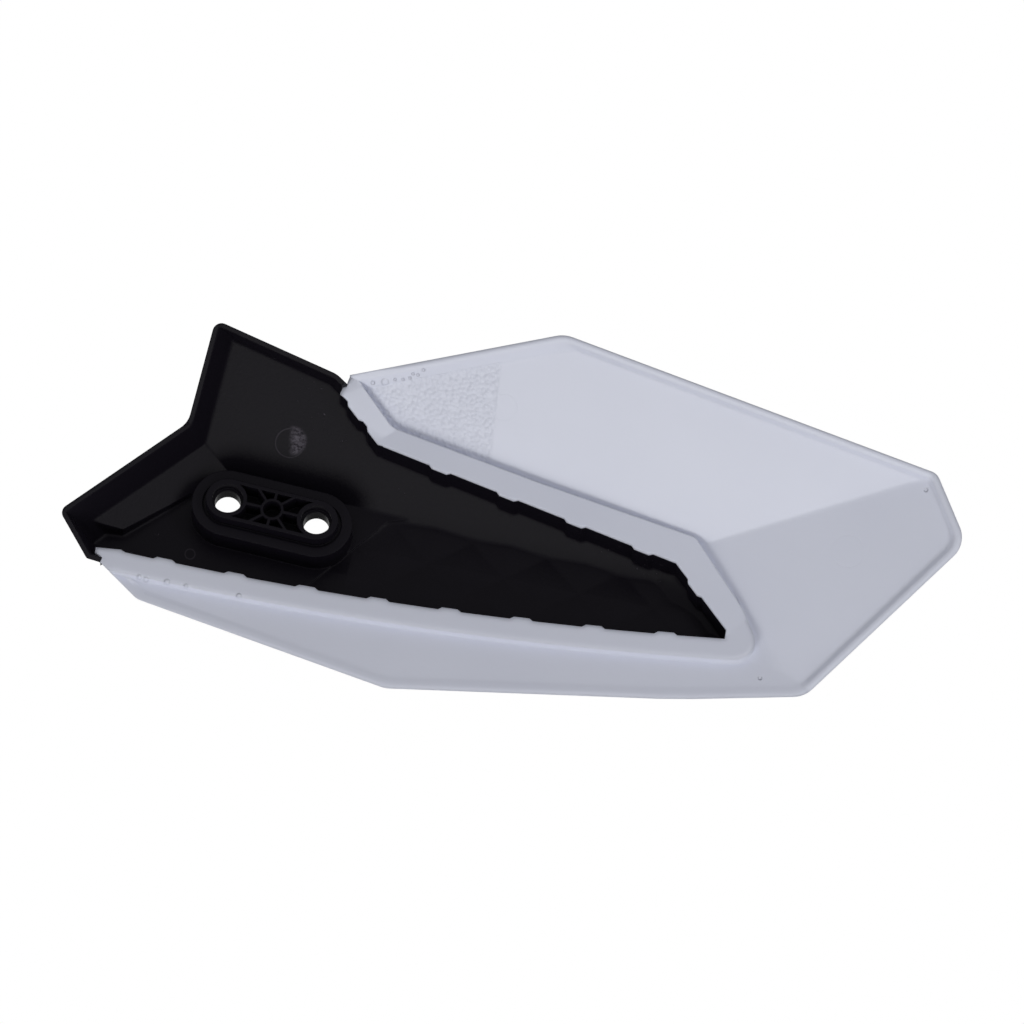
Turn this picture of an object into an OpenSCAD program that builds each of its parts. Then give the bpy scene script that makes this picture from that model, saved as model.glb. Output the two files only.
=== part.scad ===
/* [Overall] */
// Distance from the mount to the outer tip
outer_reach = 181.3; // [165:0.1:200]
// Distance from the mount to the inner tip
inner_reach = 55; // [50:0.1:62]
// Height of the white's top corner above the mount
upper_reach = 45; // [40:0.1:52]
// Depth of the lower edge below the mount
lower_reach = 49.9; // [45:0.1:58]
// Distance from the mount to the point of the black carrier
carrier_reach = 118.6; // [108:0.1:126]

/* [Mount] */
// Spacing of the two mounting holes
hole_pitch = 24; // [20:0.5:32]
// Diameter of each mounting hole
hole_d = 6.8; // [5.4:0.1:8.4]
// Length of the mounting hole between its two recesses
hole_len = 4; // [3:0.5:6]
// Diameter of the shallow recess round each hole on the rider's side
collar_d = 8.2; // [7.6:0.1:9]
// Depth of that recess
collar_depth = 2.6; // [1.6:0.1:3.4]
// Diameter of the recess for the bolt head on the outside
head_d = 13; // [11:0.5:14]
// Turn of the hole line from level, seen square to the mounting face
boss_turn = 15; // [0:1:25]
// Lean of the mounting face, as the guard is carried on the bar
rake = 25; // [15:1:35]

/* [Boss] */
// Radius of the round ends of the raised pad that meets the bracket
pad_r = 5.7; // [5.4:0.1:6.2]
// Height of the pad above the ring round it
pad_h = 2.8; // [1.5:0.1:4]
// Radius of the round ends of the outer ring
ring_r = 9.4; // [9:0.1:11]
// Height of the ring above the floor of the carrier
ring_h = 7.4; // [5:0.1:9]
// Width of the groove between pad and ring
groove_w = 0.9; // [0.5:0.1:1.4]
// Depth of that groove below the ring
groove_depth = 0.8; // [0.4:0.1:1.6]
// Thickness of the webs between the holes
web_t = 0.7; // [0.5:0.1:1]
// Radius of the round pocket in the middle of the webs
hub_r = 2.35; // [1.8:0.05:2.8]
// Depth of the pockets between the webs
pocket_depth = 5.5; // [3:0.5:6]

/* [Shell] */
// Wall of the moulding, square to each panel
wall = 2.4; // [1.8:0.1:3]
// Height of the low bead along the free edges of the white
bead_h = 1.45; // [1:0.05:2]
// Width of the bead's crest
bead_w = 1.8; // [1.4:0.1:2.6]
// Run of the slope from the bead's crest to the panel
bead_run = 1.2; // [0.8:0.1:2]
// Run of that slope along the top edge, where the bead is widest
bead_top_run = 2.8; // [2:0.1:4]
// Height of the black lip above the panel beside it
lip_h = 6; // [4:0.5:8]
// Width of the black lip
lip_w = 1.3; // [1:0.1:2]
// Tilt of the upper panel from the mounting face
upper_tilt = 43; // [38:1:46]
// Height of the lower white panel above the floor of the carrier
lower_rise = 5.8; // [4.5:0.1:7]
// Run of the flange that falls from the lip at the top
top_run = 1.9; // [1.4:0.1:3]
// Run of the flange at the side
side_run = 4.4; // [3:0.1:5.5]
// Run of the flange along the wing
wing_run = 5.9; // [4.5:0.1:7]
// Run of the flange at the inner tip
tip_run = 1.2; // [1:0.1:2]

/* [Joint of the two plastics] */
// Step of the white land above the lower white panel
land_h = 2.4; // [1.6:0.1:3]
// Width of the white land along the lower edge of the opening
land_w = 6; // [5:0.1:7]
// Thickness of the black wall that the white is moulded against
joint_wall = 1.6; // [1.2:0.1:2]
// Thickness of the white over the top of that wall
cover = 1; // [0.8:0.1:1.4]
// Length of each keying tooth along the joint
tooth_len = 6.1; // [4:0.1:7]
// Length of the ramp at each end of a tooth
tooth_ramp = 1; // [0.8:0.1:2]
// Height of each tooth
tooth_h = 0.7; // [0.3:0.05:0.9]
// Distance between teeth
tooth_pitch = 19; // [14:0.2:24]
// Sag of the lower joint line below a straight line
joint_bow = 3.7; // [0:0.1:6]

/* [Diamond relief] */
// Width of each diamond along the panel
diamond_w = 20.1; // [16:0.1:24]
// Height of each diamond across the panel
diamond_l = 16.2; // [14:0.1:20]
// Rise of each diamond
diamond_h = 0.6; // [0.4:0.05:1.3]
// Depth of the sunk panel that carries the diamonds
relief_drop = 0.8; // [0.5:0.1:1.2]
// Turn of the rows of diamonds from level
diamond_turn = 12.4; // [8:0.1:16]

/* [Hidden] */
$fn = 64;
reach = 300;

// Heights are measured square to the mounting face, which is at zero.
floor_z = -ring_h - pad_h;
lower_z = floor_z + lower_rise;
land_z = lower_z + land_h;

// A panel is [height over the mount centre, rise along, rise across].
crease_at = [20.6, 5.7];
upper_along = tan(upper_tilt) * sin(boss_turn);
upper_across = tan(upper_tilt) * cos(boss_turn);
upper = [floor_z - upper_along * crease_at[0] - upper_across * crease_at[1], upper_along, upper_across];
carrier_floor = [floor_z, 0, 0];
lower = [lower_z, 0, 0];

// Places where the folds of the white shield meet, over its upper and lower panels.
fold_hub = over(upper, [carrier_reach - 5.9, -9.6]);
fold_foot = over(lower, [outer_reach - 44.8, 3.4 - lower_reach]);
fold_heel = over(lower, [carrier_reach + 7.2, -42.5]);
outer = through(fold_hub, over(upper, [outer_reach - 9.4, -0.6]), fold_foot);
corner = through(fold_hub, fold_foot, fold_heel);
white_panels = [upper, outer, corner, lower];

// The inner end of the carrier stands above its floor and is bounded by this edge.
wing_tip = [-39, -2.9];
wing_root = [-21.2, 8.4];
wing = through([wing_tip[0], wing_tip[1], floor_z + 3.7], [wing_root[0], wing_root[1], floor_z + 1.7],
    over(upper, [-17.6, 21.5]));
point_fold = over(upper, [carrier_reach - 14.7, -14.3]);
point = through(point_fold, [carrier_reach - 17.7, -16.4, floor_z], [carrier_reach + 0.1, -32.3, floor_z]);
black_panels = [upper, point];

// The land that frames the opening: along its lower edge, along its upper edge and up to the rim.
land_lower = [land_z, 0, 0];
land_upper = through(over(raised(upper, 7.9), [29.3, 14.7]),
    over(raised(upper, 9), [carrier_reach - 14.8, -14.6]), [carrier_reach + 0.3, -36, land_z]);
land_steep = through(over(raised(upper, 6.6), [17.4, 27.4]), over(raised(upper, 2.1), [23.6, 30]),
    over(raised(upper, 7.5), [26.2, 17.2]));
land_end = through(over(land_steep, [23.6, 28.7]), over(land_steep, [19.6, 26.6]),
    over(raised(land_steep, -1.3), [20.4, 31.8]));

// Corners of the free edges, seen level from the rider's side, as [along, height, radius].
shield_corners = [[1.3 - inner_reach, -5.3, 1], [19.6 - inner_reach, -23.6, 5],
    [29.6, 2.9 - lower_reach, 8], [105.6, -lower_reach, 150], [outer_reach - 41.8, 0.7 - lower_reach, 7.5],
    [outer_reach + 0.8, -9.1, 6.8], [outer_reach - 7, 9.3, 3.5], [76.7, upper_reach + 0.8, 8],
    [7.3, upper_reach - 12.4, 1]];
left_top = [-14.8, 49.65];
left_notch = [-22, 22.7];
left_tip = [-0.75 - inner_reach, -0.3];
left_heel = [6.4 - inner_reach, -12.9];
left_toe = [10 - inner_reach, -14];
end_low = [20.6, 31.9];
end_high = [17, 35.35];
far_end = [carrier_reach + 21.4, -21];
carrier_corners = [[left_top[0], left_top[1], 2.4], [left_notch[0], left_notch[1], 6],
    [left_tip[0], left_tip[1], 2.2], [left_heel[0], left_heel[1], 1], [left_toe[0], left_toe[1], 0.5],
    [11 - inner_reach, -70, 1], [far_end[0], -70, 1], [far_end[0], far_end[1], 1],
    [end_low[0], end_low[1], 0.6], [end_high[0], end_high[1], 6]];

// The joint line: a hooked start, a steep part, the long upper edge, the point and the bowed lower edge.
joint_top = [20.4, 31.3];
joint_hook = [[19.5, 25.4], [17.9, 26.7], [18.5, 28.2], [19.65, 28.7], [19.8, 29.8]];
joint_start = joint_hook[0];
joint_knee = [29.2, 14.65];
joint_elbow = [carrier_reach - 12.8, -15.5];
joint_point = [carrier_reach + 0.4, -33.9];
joint_end = [carrier_reach, -36.6];
joint_left = [8.8 - inner_reach, -9.65];
joint_lead = [[8.8 - inner_reach, -10.1], [15.4 - inner_reach, -10.8]];
joint_chord = joint_end - joint_left;
joint_run = norm(joint_chord);
inner_end = [[-inner_reach - 25, -30], [9 - inner_reach, -30], [9 - inner_reach, -15],
    [10.1 - inner_reach, -14.1], [10.5 - inner_reach, -13.1], [8.6 - inner_reach, -11.65]];
land_corners = [[carrier_reach + 10.4, -42.8, 5.5], [carrier_reach + 4.9, -28.2, 30],
    [carrier_reach - 7.6, -8.4, 2.5], [70, 5.6, 90], [31.3, 19.9, 4], [18, 36]];

// Outline of the part of the panel that carries the relief.
relief_start = [30.3, 1.1];
relief_area = [[0.5, -25], [carrier_reach + 11, -50], [carrier_reach + 11, 10], relief_start];

function over(plane, at) = [at[0], at[1], plane[0] + plane[1] * at[0] + plane[2] * at[1]];
function raised(plane, h) = [plane[0] + h, plane[1], plane[2]];
function sunk(plane, d) = raised(plane, -d * norm([plane[1], plane[2], 1]));
function level(plane, at) = plane[0] + plane[1] * at[0] + plane[2] * at[1];

// A panel as it lies once the guard is set upright.
function seen(plane) =
    [plane[0], plane[1], plane[2] * cos(rake) - sin(rake)] / (cos(rake) + plane[2] * sin(rake));

// The plane through three points.
function through(p, q, r) =
    let (n = cross(q - p, r - p), along = -n[0] / n[2], across = -n[1] / n[2])
    [p[2] - along * p[0] - across * p[1], along, across];

function unit(v) = v / norm(v);
function left_of(v) = [-v[1], v[0]];
function flat(p) = [p[0], p[1]];

// A corner rounded to its radius, as points along the arc with a turn between them.
function arc_corner(before, at, after, r, step) =
    let (a = unit(before - at), b = unit(after - at), half = acos(a * b) / 2,
        centre = at + unit(a + b) * r / sin(half), start = at + a * r / tan(half) - centre,
        turn = cross(-a, b) > 0 ? 180 - 2 * half : 2 * half - 180, steps = ceil(abs(turn) / step))
    [for (i = [0:steps])
        let (w = atan2(start[1], start[0]) + turn * i / steps) centre + r * [cos(w), sin(w)]];

// A closed outline with every corner rounded.
function rounded(corners, step = 8) =
    let (n = len(corners))
    [for (i = [0:n - 1])
        each arc_corner(flat(corners[(i + n - 1) % n]), flat(corners[i]), flat(corners[(i + 1) % n]),
            corners[i][2], step)];

// An open line with the corners between its ends rounded.
function rounded_path(corners) =
    let (last = len(corners) - 1)
    [flat(corners[0]), for (i = [1:last - 1])
        each arc_corner(flat(corners[i - 1]), flat(corners[i]), flat(corners[i + 1]), corners[i][2], 8),
        flat(corners[last])];

// The same corners moved inwards, for an outline that runs anticlockwise.
function inset(corners, d) =
    let (n = len(corners))
    [for (i = [0:n - 1])
        let (at = flat(corners[i]), n1 = left_of(unit(at - flat(corners[(i + n - 1) % n]))),
            n2 = left_of(unit(flat(corners[(i + 1) % n]) - at)), moved = at + d * (n1 + n2) / (1 + n1 * n2),
            hollow = cross(n1, n2) < 0)
        [moved[0], moved[1], hollow ? corners[i][2] + d : max(corners[i][2] - d, 0.4)]];

// A tooth on the left of the line from p to q, centred at a distance from p.
function tooth(p, q, d) =
    let (along = unit(q - p), up = left_of(along) * tooth_h, half = tooth_len / 2)
    [p + along * (d - half), p + along * (d - half + tooth_ramp) + up, p + along * (d + half - tooth_ramp) + up,
        p + along * (d + half)];

// The bowed lower edge at a fraction of its length, moved down by a distance.
function bow(t, d) =
    joint_left + joint_chord * t - left_of(unit(joint_chord)) * (4 * joint_bow * t * (1 - t) + d);
bow_teeth = [for (d = [18.5:tooth_pitch:joint_run - tooth_len]) d / joint_run];
tooth_part = tooth_len / joint_run;
ramp_part = tooth_ramp / joint_run;
bow_toothed = [each joint_lead, bow(8 / joint_run, 0), for (t = bow_teeth)
    each [bow(t - tooth_part / 2, 0), bow(t - tooth_part / 2 + ramp_part, -tooth_h),
        bow(t + tooth_part / 2 - ramp_part, -tooth_h), bow(t + tooth_part / 2, 0)],
    bow(1, 0)];
upper_run = norm(joint_elbow - joint_knee);
upper_teeth = [for (d = [15.9:tooth_pitch:upper_run - tooth_len]) upper_run - d];

// The opening in the white, open towards the inner end, anticlockwise.
opening = concat(inner_end, bow_toothed, [joint_point], tooth(joint_point, joint_elbow, 14.2), [joint_elbow],
    [for (i = [len(upper_teeth) - 1:-1:0]) each tooth(joint_elbow, joint_knee, upper_teeth[i])],
    [joint_knee], tooth(joint_knee, joint_start, 3.4), tooth(joint_knee, joint_start, 11), joint_hook,
    [joint_top, [joint_top[0], 80], [-80, 80]]);

// The same line without teeth, moved outwards by the black wall.
wall_corners = inset([for (i = [1:15]) [bow(i / 16, 0)[0], bow(i / 16, 0)[1], 0.4],
    [joint_end[0], joint_end[1], 0.4], [joint_point[0], joint_point[1], 0.4],
    [joint_elbow[0], joint_elbow[1], 0.4], [joint_knee[0], joint_knee[1], 0.4],
    [joint_start[0], joint_start[1], 0.4], [joint_top[0], joint_top[1], 0.4], [joint_top[0], 80, 0.4],
    [-80, 80, 0.4], [-80, -16, 0.4]], -joint_wall);
wall_edge = concat(inner_end, [for (i = [0:21]) flat(wall_corners[i])], [[-80, 80 + joint_wall]]);

// The white land, from the opening out to its own edge.
land_area = concat([[-80, -18]], [for (i = [0:15]) bow(i / 16, land_w)],
    rounded_path(concat([bow(1, land_w)], land_corners)), [[-80, 38]]);
upper_half = [[-80, 0], [carrier_reach + 0.2, -36.1], [200, -36.1], [200, 100], [-80, 100]];
wing_area = [[-inner_reach - 15, 3], [-inner_reach - 2, -0.5], wing_tip, wing_root, [-8, 4], [-8, 60],
    [-inner_reach - 15, 60]];
wing_hollow = [for (p = wing_area) p + [0, wall]];

// The guard as it is carried, with the middle of the two holes at the origin.
module as_carried() {
    rotate([90 - rake, 0, 0])
        translate([0, 0, collar_depth + hole_len / 2])
            children();
}

// Everything within an outline, at any height.
module column(points) {
    translate([0, 0, -reach / 2])
        linear_extrude(reach)
            polygon(points);
}

// Everything below a panel, and everything above it, as far as the reach from a place on it.
module below(plane, at = [0, 0]) {
    on(plane, at)
        translate([-reach, -reach, -reach])
            cube([2 * reach, 2 * reach, reach]);
}

module above(plane, at) {
    on(plane, at)
        translate([-reach, -reach, 0])
            cube([2 * reach, 2 * reach, reach]);
}

module on(plane, at) {
    translate([at[0], at[1], level(plane, at)])
        rotate([0, 0, atan2(-plane[2], -plane[1])])
            rotate([0, atan(norm([plane[1], plane[2]])), 0])
                children();
}

module below_any(planes) {
    for (plane = planes)
        below(plane);
}

// The guard upright: +Y is its height, and +Z points level at the rider.
module upright() {
    rotate([rake, 0, 0])
        children();
}

// The land with its top lowered by a distance.
module land(drop) {
    below(raised(land_lower, -drop));
    intersection() {
        column(upper_half);
        union() {
            below(raised(land_upper, -drop));
            intersection() {
                below(raised(land_steep, -drop));
                below(raised(land_end, -drop));
            }
        }
    }
}

// The room that the white leaves for the black: the opening, and the wall under the land's edge.
module carrier_room() {
    column(opening);
    intersection() {
        column(wall_edge);
        land(cover);
    }
}

// The slope that falls onto a panel from a crest of a height and width along the edge p to q.
function slope(panel, p, q, high, crest, run) =
    let (n = left_of(unit(q - p)), fall = high / run)
    [panel[0] + high + fall * (crest + n * p), panel[1] - fall * n[0], panel[2] - fall * n[1]];

// A panel of the white comes up to its edge between p and q where it is the highest one there.
seen_panels = [for (panel = white_panels) seen(panel)];
function top_level(at) = max([for (panel = seen_panels) level(panel, at)]);
function beside(panel, p, q) =
    norm(q - p) > 0.5 && max([for (at = [p, (p + q) / 2, q]) level(panel, at) - top_level(at)]) > -1;

// The top edge runs inwards and down.
function is_top(p, q) = q[0] < p[0] && q[1] < p[1];

// The low bead along the free edges of the white: each panel raised, less the dish inside the bead.
module bead() {
    line = rounded(shield_corners, 24);
    last = len(line) - 3;
    upright()
        for (panel = seen_panels)
            difference() {
                below(raised(panel, bead_h));
                intersection_for(edge = [for (i = [2:last]) if (beside(panel, line[i], line[i + 1])) i])
                    above(slope(panel, line[edge], line[edge + 1], bead_h, bead_w,
                        is_top(line[edge], line[edge + 1]) ? bead_top_run : bead_run), line[edge]);
            }
}

module white_top() {
    below_any(white_panels);
    bead();
    intersection() {
        column(land_area);
        land(0);
    }
}

module outer_shield() {
    color("white")
        as_carried()
            difference() {
                intersection() {
                    upright()
                        column(rounded(shield_corners));
                    white_top();
                }
                below_any([for (panel = white_panels) sunk(panel, wall)]);
                carrier_room();
            }
}

// A bar with round ends over both holes.
module stadium(r) {
    hull()
        for (side = [-1, 1])
            translate([side * hole_pitch / 2, 0])
                circle(r);
}

module at_holes() {
    for (side = [-1, 1])
        translate([side * hole_pitch / 2, 0, 0])
            children();
}

// Raised body of the boss: the ring, and the pad that stands in a groove in it.
module boss_body() {
    root = floor_z - wall / 2;
    difference() {
        translate([0, 0, root])
            linear_extrude(-pad_h - root)
                stadium(ring_r);
        translate([0, 0, -pad_h - groove_depth])
            linear_extrude(groove_depth + 1)
                stadium(pad_r + groove_w);
    }
    translate([0, 0, root])
        linear_extrude(-root)
            stadium(pad_r);
}

// Pockets between the holes, left between webs like spokes round a hub.
module boss_pockets() {
    web_half = web_t / 2;
    hub_wall = hub_r + web_t;
    translate([0, 0, -pocket_depth])
        linear_extrude(pocket_depth + 1) {
            circle(hub_r);
            difference() {
                square([hole_pitch, 2 * (pad_r - 1)], center = true);
                circle(hub_wall);
                for (side = [-1, 1])
                    translate([side * hole_pitch / 2, 0])
                        circle(collar_d / 2 + 1);
                for (turn = [0:45:135])
                    rotate(turn)
                        square([hole_pitch, 2 * web_half], center = true);
            }
        }
}

module boss_bores() {
    bottom = floor_z - wall;
    at_holes()
        translate([0, 0, bottom - 1])
            cylinder(h = reach, d = hole_d);
    at_holes()
        translate([0, 0, -collar_depth])
            cylinder(h = collar_depth + 1, d = collar_d);
    at_holes()
        translate([0, 0, bottom - 10])
            cylinder(h = 10 - bottom - collar_depth - hole_len, d = head_d);
}

// One set of parallel ridges, a diamond's side apart.
module ridges(heading) {
    half = 1 / norm([2 / diamond_w, 2 / diamond_l]);
    rotate([0, 0, heading])
        rotate([90, 0, 0])
            linear_extrude(reach, center = true)
                polygon([[-20 * half, -1.5], [20 * half, -1.5],
                    for (i = [20:-1:-20]) [i * half, 0.04 + (i % 2 == 0 ? diamond_h : 0)]]);
}

// Where two sets of ridges cross they leave a field of low four-sided points.
module relief() {
    translate([31.2, -8.5, floor_z - relief_drop])
        rotate([0, 0, -diamond_turn])
            intersection() {
                ridges(atan2(diamond_w, diamond_l));
                ridges(-atan2(diamond_w, diamond_l));
            }
}

// The lip along the free edges of the black and the flanges that fall from it, sunk by a depth.
module lip(depth) {
    main = seen(upper);
    low = seen(wing);
    upright()
        intersection() {
            below_any([sunk(raised(main, lip_h), depth), sunk(raised(low, lip_h), depth)]);
            union() {
                intersection() {
                    below(sunk(slope(main, far_end, end_low, lip_h, lip_w, top_run), depth));
                    below(sunk(slope(main, end_low, end_high, lip_h, lip_w, top_run), depth));
                }
                below(sunk(slope(main, end_high, left_top, lip_h, lip_w, top_run), depth));
                intersection() {
                    below(sunk(slope(main, left_top, left_notch, lip_h, lip_w, side_run), depth));
                    below(sunk(slope(low, left_notch, left_tip, lip_h, lip_w, wing_run), depth));
                }
                below(sunk(slope(low, left_tip, left_heel, lip_h, lip_w, tip_run), depth));
                below(sunk(slope(low, left_heel, left_toe, lip_h, lip_w, tip_run), depth));
            }
        }
}

// The panels of the carrier, its wing and its lip, sunk by a depth.
module carrier_skin(depth) {
    below_any([for (panel = black_panels) sunk(panel, depth)]);
    below(raised(carrier_floor, -depth - relief_drop));
    difference() {
        below(raised(carrier_floor, -depth));
        column(relief_area);
    }
    intersection() {
        column(depth > 0 ? wing_hollow : wing_area);
        below(sunk(wing, depth));
    }
    lip(depth);
}

module carrier_top() {
    carrier_skin(0);
    difference() {
        land(cover);
        column(opening);
    }
    relief();
}

module mount_carrier() {
    color([0.09, 0.09, 0.1])
        as_carried()
            difference() {
                union() {
                    difference() {
                        intersection() {
                            upright()
                                column(rounded(carrier_corners));
                            carrier_room();
                            carrier_top();
                        }
                        carrier_skin(wall);
                        translate([0, 0, -wall])
                            relief();
                    }
                    rotate([0, 0, -boss_turn])
                        boss_body();
                }
                rotate([0, 0, -boss_turn]) {
                    boss_pockets();
                    boss_bores();
                }
            }
}

outer_shield();
mount_carrier();
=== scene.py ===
import bmesh
import bpy
import math
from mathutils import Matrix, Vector
from mathutils.bvhtree import BVHTree


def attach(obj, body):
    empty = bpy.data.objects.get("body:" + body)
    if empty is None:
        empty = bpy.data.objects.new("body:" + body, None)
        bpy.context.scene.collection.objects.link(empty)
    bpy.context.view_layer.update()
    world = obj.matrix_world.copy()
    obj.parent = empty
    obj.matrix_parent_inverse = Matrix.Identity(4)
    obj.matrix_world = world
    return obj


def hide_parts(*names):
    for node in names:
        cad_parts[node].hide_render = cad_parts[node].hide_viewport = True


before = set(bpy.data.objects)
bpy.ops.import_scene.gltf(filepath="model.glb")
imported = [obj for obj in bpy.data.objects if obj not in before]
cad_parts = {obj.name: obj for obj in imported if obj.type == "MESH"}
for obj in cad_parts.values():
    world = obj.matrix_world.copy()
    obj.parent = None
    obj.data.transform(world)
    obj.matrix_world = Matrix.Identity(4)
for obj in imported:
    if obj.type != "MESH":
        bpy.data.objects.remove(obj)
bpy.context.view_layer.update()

# White shield
# The outer shield is one injection moulding in white polypropylene, shot round the black carrier.
# The tool cuts its corners crisp along the joint and rounds them on the land, the folds and the rim.

on_joint = 0.0001    # metres from the other moulding within which a point lies on the joint
fold = 2.5           # degrees past which two faces are two panels and not one
bevel_samples = 8    # rays that find the neighbouring faces of a softened corner


def moulding(node, name, partner):
    """A merged copy of a moulding, open for editing, and the surface that it is locked to."""
    merge_gap, level = 0.00001, math.radians(0.6)
    piece = bpy.data.objects.new(name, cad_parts[node].data.copy())
    bpy.context.collection.objects.link(piece)
    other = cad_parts[partner].data
    seat = BVHTree.FromPolygons([v.co for v in other.vertices],
                                [p.vertices for p in other.polygons])
    shape = bmesh.new()
    shape.from_mesh(piece.data)
    bmesh.ops.remove_doubles(shape, verts=shape.verts, dist=merge_gap)
    bmesh.ops.dissolve_limit(shape, angle_limit=level, verts=shape.verts, edges=shape.edges)
    return piece, shape, seat


def round_corners(shape, seat, corner):
    """Rounds the corners that lie free and keeps the folds and the joint crisp."""
    free_corner, sharp, sharp_at_joint, broad_face = 24, 60, 20, 0.0025
    free = [e for e in shape.edges if e.calc_face_angle(0) > math.radians(free_corner)
            and max(seat.find_nearest(v.co)[3] for v in e.verts) > on_joint]
    bmesh.ops.bevel(shape, geom=free, offset=corner, segments=2, profile=0.5, affect="EDGES",
                    clamp_overlap=True)
    for edge in shape.edges:
        turn = math.degrees(edge.calc_face_angle(0))
        breadth = min(f.calc_area() / max(e.calc_length() for e in f.edges)
                      for f in edge.link_faces)
        joint = max(seat.find_nearest(v.co)[3] for v in edge.verts) < on_joint
        edge.smooth = not (turn > sharp or (turn > sharp_at_joint and joint)
                           or (turn > fold and breadth > broad_face))


def finish_edges(piece, shape, seat, radius_at):
    """Writes how soft each corner is, in metres, and closes the copy with flat-panel normals."""
    stride = 0.004
    for edge in [e for e in shape.edges if e.calc_face_angle(0) > math.radians(fold)]:
        start, end = edge.verts
        for left in range(int(edge.calc_length() / stride), 0, -1):
            link = next(e for e in start.link_edges if e.other_vert(start) is end)
            start = bmesh.utils.edge_split(link, start, 1 / (left + 1))[1]
    gaps = {vert: seat.find_nearest(vert.co)[3] for vert in shape.verts}
    softness = shape.loops.layers.float.new("edge_radius")
    for face in shape.faces:
        for corner in face.loops:
            corner[softness] = radius_at(face, corner.vert, gaps)
    shape.to_mesh(piece.data)
    shape.free()
    for face in piece.data.polygons:
        face.use_smooth = True
    piece.modifiers.new("flat panels", "WEIGHTED_NORMAL").keep_sharp = True
    piece.data.materials.clear()


def linear(code):
    """An sRGB hex colour as linear red, green, blue and alpha."""
    parts = [int(code[i:i + 2], 16) / 255 for i in (0, 2, 4)]
    return [c / 12.92 if c <= 0.04045 else ((c + 0.055) / 1.055) ** 2.4 for c in parts] + [1]


def add(tree, kind, values=None, links=None):
    """Adds a node, with its values by attribute or socket, and its links by socket."""
    node = tree.nodes.new(kind)
    for key, value in (values or {}).items():
        if isinstance(key, str) and hasattr(node, key):
            setattr(node, key, value)
        else:
            node.inputs[key].default_value = value
    for key, source in (links or {}).items():
        tree.links.new(source, node.inputs[key])
    return node


def mark(tree, flat, x, z, radius, soft, ring=0):
    """A round mark, or a ring of that breadth, in millimetres from the middle of the holes."""
    gap = add(tree, "ShaderNodeVectorMath",
              {"operation": "DISTANCE", 1: (x / 1000, 0, z / 1000)}, {0: flat}).outputs["Value"]
    if ring:
        gap = add(tree, "ShaderNodeMath", {"operation": "SUBTRACT", 1: radius / 1000},
                  {0: gap}).outputs[0]
        gap = add(tree, "ShaderNodeMath", {"operation": "ABSOLUTE"}, {0: gap}).outputs[0]
        radius = ring / 2
    return add(tree, "ShaderNodeMapRange",
               {"interpolation_type": "SMOOTHSTEP", "From Min": (radius + soft) / 1000,
                "From Max": (radius - soft) / 1000}, {"Value": gap}).outputs["Result"]


def joined(tree, operation, masks):
    """Several masks folded into one by a sum, a product or the larger of them."""
    total = masks[0]
    for mask in masks[1:]:
        total = add(tree, "ShaderNodeMath", {"operation": operation},
                    {0: total, 1: mask}).outputs[0]
    return total


def white_radius(face, vert, gaps):
    """Crisp at the joint and where panels end, wide over the land, the slopes and the rim."""
    joint_edge, land_edge, bead_edge, panel_end, fold_edge = 0.00025, 0.0024, 0.0028, 0.0007, 0.002
    narrow_face, beside_land = 0.004, 0.011
    if gaps[vert] < on_joint:
        return joint_edge
    if min(gaps[v] for v in face.verts) < on_joint:
        return land_edge
    if face.calc_area() / max(e.calc_length() for e in face.edges) < narrow_face:
        return bead_edge
    return panel_end if gaps[vert] < beside_land else fold_edge


shield, shape, seat = moulding("outer_shield", "white_shield", "mount_carrier")

# The lower rim rolls over softly, where the other edges carry a raised bead. Its top lies in one
# plane, and goes back towards the panel.
bead_facing, bead_level, roll_back = Vector((0, -0.9063, 0.4226)), 0.001514, 0.0012
for vert in shape.verts:
    if abs(bead_facing.dot(vert.co) - bead_level) < 0.0001:
        vert.co.y += roll_back
round_corners(shape, seat, 0.00035)
finish_edges(shield, shape, seat, white_radius)

# Moulded white polypropylene: slightly violet and satin. A spark texture breaks the gloss. Such grain
# is finer than the render shows, so it is drawn 1.1 mm coarse.
grain_scale, pebble_scale, drift_scale = 900, 900, 30    # per metre
white = bpy.data.materials.new("moulded_white_polypropylene")
white.use_nodes = True
tree = white.node_tree
tree.nodes.clear()
place = add(tree, "ShaderNodeTexCoord").outputs["Object"]
flat = add(tree, "ShaderNodeVectorMath", {"operation": "MULTIPLY", 1: (1, 0, 1)},
           {0: place}).outputs[0]
facing = add(tree, "ShaderNodeSeparateXYZ", None,
             {0: add(tree, "ShaderNodeNewGeometry").outputs["True Normal"]})
front = add(tree, "ShaderNodeMath", {"operation": "LESS_THAN", 1: -0.3},
            {0: facing.outputs["Y"]}).outputs[0]
radius = add(tree, "ShaderNodeAttribute", {"attribute_name": "edge_radius"}).outputs["Fac"]
rounded = add(tree, "ShaderNodeBevel", {"samples": bevel_samples},
              {"Radius": radius}).outputs["Normal"]
grain = add(tree, "ShaderNodeTexNoise", {"Scale": grain_scale, "Detail": 2},
            {"Vector": place}).outputs["Fac"]
skin = add(tree, "ShaderNodeBump", {"Strength": 0.1, "Distance": 0.0002},
           {"Height": grain, "Normal": rounded})

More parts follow.
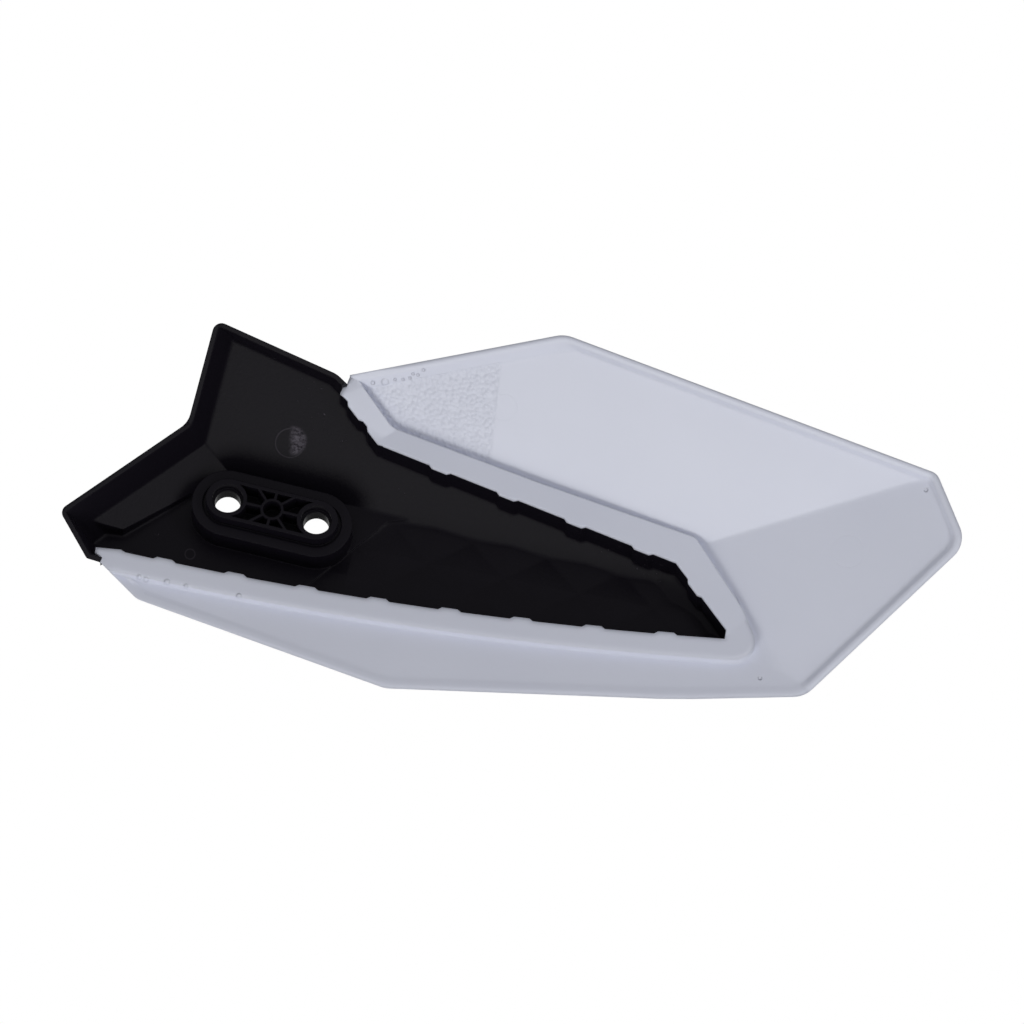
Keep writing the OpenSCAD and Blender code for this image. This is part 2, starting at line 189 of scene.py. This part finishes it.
# A patch with pebbles of about 1.1 mm lies only on the upper panel, up to a soft upright line.
panel_facing, panel_level = (-0.1765, -0.9412, -0.288), -0.011487
depth = add(tree, "ShaderNodeVectorMath", {"operation": "DOT_PRODUCT", 1: panel_facing},
            {0: place})
panel = add(tree, "ShaderNodeMath", {"operation": "COMPARE", 1: panel_level, 2: 0.00025},
            {0: depth.outputs["Value"]})
along = add(tree, "ShaderNodeVectorMath", {"operation": "DOT_PRODUCT", 1: (1, 0, -0.108)},
            {0: place})
reach = add(tree, "ShaderNodeMapRange",
            {"interpolation_type": "SMOOTHSTEP", "From Min": 0.0562, "From Max": 0.0545},
            {"Value": along.outputs["Value"]})
pebbles = add(tree, "ShaderNodeTexVoronoi",
              {"feature": "SMOOTH_F1", "Scale": pebble_scale, "Smoothness": 0.3},
              {"Vector": place}).outputs["Distance"]
pebbled = joined(tree, "MULTIPLY", [pebbles, panel.outputs[0], reach.outputs["Result"], front])
patch = add(tree, "ShaderNodeBump", {"invert": True, "Strength": 0.9, "Distance": 0.0003},
            {"Height": pebbled, "Normal": skin.outputs["Normal"]})

# Small sinks along the rim, raised flecks on the rim and the lower ridge, and two faint rings such as
# ejector pins leave. All are x, z and radius in millimetres from the middle of the holes.
sinks = [(26.46, 34.96, 0.5), (32.23, 35.87, 0.35), (34.32, 35.87, 0.35), (36.16, 36.27, 0.35),
         (36.94, 37.31, 0.35), (38.25, 37.05, 0.35), (39.69, 38.36, 0.4), (127.86, -42.33, 0.5),
         (171.35, 6.92, 0.5)]
beads = [(29.61, 35.22, 0.9), (-34.8, -15.9, 0.6), (-33.01, -16.53, 0.6), (-27.51, -17.18, 0.7),
         (-22.53, -18.23, 0.5), (-8.65, -20.85, 0.6)]
dents = joined(tree, "MAXIMUM", [mark(tree, flat, x, z, r, 0.2) for x, z, r in sinks])
lines = joined(tree, "MAXIMUM", [mark(tree, flat, 150.91, -9.06, 4.2, 0.12, 0.25),
                                 mark(tree, flat, 60.78, 28.67, 3.4, 0.12, 0.2)])
rises = joined(tree, "MAXIMUM", [mark(tree, flat, x, z, r, 0.3) for x, z, r in beads])
hollow = joined(tree, "MULTIPLY", [joined(tree, "SUBTRACT", [dents, rises]), front])
skin = add(tree, "ShaderNodeBump", {"invert": True, "Strength": 1.0, "Distance": 0.0003},
           {"Height": hollow, "Normal": patch.outputs["Normal"]})
faint = joined(tree, "MULTIPLY", [lines, front])
skin = add(tree, "ShaderNodeBump", {"invert": True, "Strength": 0.25, "Distance": 0.0001},
           {"Height": faint, "Normal": skin.outputs["Normal"]})

# The white drifts a little over about 3 cm, and painted shade greys the sinks.
flow = add(tree, "ShaderNodeTexNoise", {"Scale": drift_scale, "Detail": 3},
           {"Vector": place}).outputs["Fac"]
shade = add(tree, "ShaderNodeMix",
            {"data_type": "RGBA", 6: linear("D0D3E1"), 7: linear("D6D9E6")}, {0: flow})
sink_shade = add(tree, "ShaderNodeMath", {"operation": "MULTIPLY", 1: 0.12},
           {0: joined(tree, "MULTIPLY", [dents, front])})
# painted shade: inside the sinks the colour is mixed 12 % towards grey 8E8C96
shade = add(tree, "ShaderNodeMix", {"data_type": "RGBA", 7: linear("8E8C96")},
            {0: sink_shade.outputs[0], 6: shade.outputs[2]})
polymer = add(tree, "ShaderNodeBsdfPrincipled", {"Roughness": 0.42, "IOR": 1.49},
              {"Base Color": shade.outputs[2], "Normal": skin.outputs["Normal"]})
add(tree, "ShaderNodeOutputMaterial", None, {"Surface": polymer.outputs["BSDF"]})
shield.data.materials.append(white)
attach(shield, "root")
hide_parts("outer_shield")

# Black carrier
# The carrier is the first shot, in black polypropylene. It holds the two screw holes in an oval boss,
# and the white is locked onto the toothed wall round its edge.


def black_radius(face, vert, gaps):
    """Crisp at the joint, on the boss and on true corners, broad in the valleys between panels."""
    joint_edge, corner_edge, valley_edge, boss_reach = 0.00025, 0.0004, 0.0015, 0.026
    if gaps[vert] < on_joint:
        return joint_edge
    valley = any(e.calc_face_angle(0) > math.radians(10) and not e.is_convex
                 for e in vert.link_edges)
    on_boss = math.hypot(vert.co.x, vert.co.z) < boss_reach
    return corner_edge if on_boss or not valley else valley_edge


carrier, shape, seat = moulding("mount_carrier", "black_carrier", "outer_shield")
round_corners(shape, seat, 0.00025)
finish_edges(carrier, shape, seat, black_radius)

# Moulded black polypropylene: almost all of its tone is the sheen of the satin tool finish. Its grain
# is drawn 0.8 mm coarse so that it shows, and the torn gate mark breaks up at about 1 mm.
grain_scale, tear_scale = 1300, 900    # per metre
black = bpy.data.materials.new("moulded_black_polypropylene")
black.use_nodes = True
tree = black.node_tree
tree.nodes.clear()
place = add(tree, "ShaderNodeTexCoord").outputs["Object"]
flat = add(tree, "ShaderNodeVectorMath", {"operation": "MULTIPLY", 1: (1, 0, 1)},
           {0: place}).outputs[0]
facing = add(tree, "ShaderNodeSeparateXYZ", None,
             {0: add(tree, "ShaderNodeNewGeometry").outputs["True Normal"]})
front = add(tree, "ShaderNodeMath", {"operation": "LESS_THAN", 1: -0.3},
            {0: facing.outputs["Y"]}).outputs[0]
radius = add(tree, "ShaderNodeAttribute", {"attribute_name": "edge_radius"}).outputs["Fac"]
rounded = add(tree, "ShaderNodeBevel", {"samples": bevel_samples},
              {"Radius": radius}).outputs["Normal"]
grain = add(tree, "ShaderNodeTexNoise", {"Scale": grain_scale, "Detail": 2},
            {"Vector": place}).outputs["Fac"]
skin = add(tree, "ShaderNodeBump", {"Strength": 0.2, "Distance": 0.0002},
           {"Height": grain, "Normal": rounded})

# The gate was trimmed off above the boss and left a torn half disc in a round witness line. White
# flecks lie where the second shot ran along the joint, and a small ring stands left of the boss.
torn = add(tree, "ShaderNodeTexNoise", {"Scale": tear_scale, "Detail": 4, "Roughness": 0.75},
           {"Vector": place})
tear = add(tree, "ShaderNodeMapRange", {"From Min": 0.36, "From Max": 0.6},
           {"Value": torn.outputs["Fac"]})
side = add(tree, "ShaderNodeSeparateXYZ", None, {0: flat}).outputs["X"]
right = add(tree, "ShaderNodeMapRange",
            {"interpolation_type": "SMOOTHSTEP", "From Min": 0.0040, "From Max": 0.0062},
            {"Value": side})
gate = joined(tree, "MULTIPLY", [mark(tree, flat, 5.2, 19.8, 3.6, 0.8), right.outputs["Result"],
                                 tear.outputs["Result"]])
witness = mark(tree, flat, 4.72, 19.24, 3.8, 0.2, 0.3)
loop = mark(tree, flat, -21.48, -9.85, 1.3, 0.2, 0.2)
sparse = add(tree, "ShaderNodeMapRange", {"From Min": 0.62, "From Max": 0.74},
             {"Value": torn.outputs["Fac"]})
flecks = [(9.2, 33.5, 4), (19.1, 21.5, 3), (12, 26, 4), (1.5, 25, 1.5), (88, -8, 3.5),
          (98, -12.5, 4.5), (100, -15.6, 2), (79, -4, 2.5), (-29.9, -4.8, 1.2), (34, 6, 2.5)]
strewn = joined(tree, "MAXIMUM", [mark(tree, flat, x, z, r, r * 0.6) for x, z, r in flecks])
scuffs = joined(tree, "MULTIPLY", [strewn, sparse.outputs["Result"]])
witness = add(tree, "ShaderNodeMath", {"operation": "MULTIPLY", 1: 0.3},
              {0: joined(tree, "MAXIMUM", [witness, loop])}).outputs[0]
worn = joined(tree, "MULTIPLY", [joined(tree, "MAXIMUM", [gate, witness, scuffs]), front])
skin = add(tree, "ShaderNodeBump", {"Strength": 0.6, "Distance": 0.0002},
           {"Height": worn, "Normal": skin.outputs["Normal"]})
paler = add(tree, "ShaderNodeMath", {"operation": "MULTIPLY", 1: 0.5}, {0: worn}).outputs[0]
shade = add(tree, "ShaderNodeMix",
            {"data_type": "RGBA", 6: linear("100E14"), 7: linear("77727C")}, {0: paler})
polymer = add(tree, "ShaderNodeBsdfPrincipled",
              {"Roughness": 0.4, "IOR": 1.49, "Specular IOR Level": 0.062},
              {"Base Color": shade.outputs[2], "Normal": skin.outputs["Normal"]})
add(tree, "ShaderNodeOutputMaterial", None, {"Surface": polymer.outputs["BSDF"]})
carrier.data.materials.append(black)
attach(carrier, "root")
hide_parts("mount_carrier")

# The studio
# A pale floor lies well below the hanging part, in a white surround. Soft boxes light it from low in
# front, from the right, from straight in front, from below and from above behind.

half, level = 3, -1.1
floor_mesh = bpy.data.meshes.new("floor")
floor_mesh.from_pydata([(-half, -half, level), (half, -half, level), (half, half, level),
                        (-half, half, level)], [], [(0, 1, 2, 3)])
floor = bpy.data.objects.new("floor", floor_mesh)
bpy.context.collection.objects.link(floor)
paper = bpy.data.materials.new("matt_white_paper")
paper.use_nodes = True
tree = paper.node_tree
sheet = tree.nodes["Principled BSDF"]
sheet.inputs["Base Color"].default_value = linear("F4F4F4")
sheet.inputs["Roughness"].default_value = 0.9
sheet.inputs["Emission Color"].default_value = (1, 1, 1, 1)
rays = add(tree, "ShaderNodeLightPath")
lift = add(tree, "ShaderNodeMath", {"operation": "MULTIPLY", 1: 0.55},
           {0: rays.outputs["Is Camera Ray"]})
tree.links.new(lift.outputs[0], sheet.inputs["Emission Strength"])
floor_mesh.materials.append(paper)

world = bpy.data.worlds.new("surround")
bpy.context.scene.world = world
world.use_nodes = True
tree = world.node_tree
tree.nodes.clear()
rays = add(tree, "ShaderNodeLightPath")
seen = joined(tree, "MAXIMUM", [rays.outputs[kind] for kind in
                                ("Is Camera Ray", "Is Glossy Ray", "Is Transmission Ray")])
level = add(tree, "ShaderNodeMapRange", {"To Min": 0.26, "To Max": 1.0}, {"Value": seen})
glow = add(tree, "ShaderNodeBackground", {"Color": (1, 1, 1, 1)},
           {"Strength": level.outputs["Result"]})
add(tree, "ShaderNodeOutputWorld", None, {"Surface": glow.outputs["Background"]})


def lamp(name, way, off, size, watts):
    """A soft box in the given direction and distance from the part, which isn't seen itself."""
    data = bpy.data.lights.new(name, "AREA")
    data.shape = "RECTANGLE"
    data.size, data.size_y = size
    data.energy = watts
    lit = bpy.data.objects.new(name, data)
    way = Vector(way).normalized()
    lit.location = Vector((0.06, 0, 0)) + way * off
    lit.rotation_euler = way.to_track_quat("Z", "Y").to_euler()
    lit.visible_camera = False
    bpy.context.collection.objects.link(lit)


lamp("low_front", (-0.36, -0.71, -0.60), 0.8, (0.36, 0.36), 2.15)
lamp("right_front", (0.60, -0.78, 0.0), 1.0, (0.2, 0.7), 2.6)
lamp("front", (-0.12, -1.0, 0.05), 1.0, (0.2, 0.2), 0.1)
lamp("below", (0.0, -0.35, -0.93), 1.0, (0.4, 0.4), 1.3)
lamp("above_behind", (0.0, 0.45, 0.9), 1.5, (1.2, 1.2), 8.5)

# The camera looks square at the rider's side without perspective, centred a little right of the holes.
centre_x, centre_z, stand_off, view_breadth = 0.06288, 0.00116, 1.5, 0.2683
lens = bpy.data.cameras.new("camera")
lens.type = "ORTHO"
lens.ortho_scale = view_breadth
camera = bpy.data.objects.new("camera", lens)
camera.location = (centre_x, -stand_off, centre_z)
camera.rotation_euler = (math.radians(90), 0, 0)
bpy.context.collection.objects.link(camera)
bpy.context.scene.camera = camera
bpy.context.scene.view_settings.view_transform = "Standard"
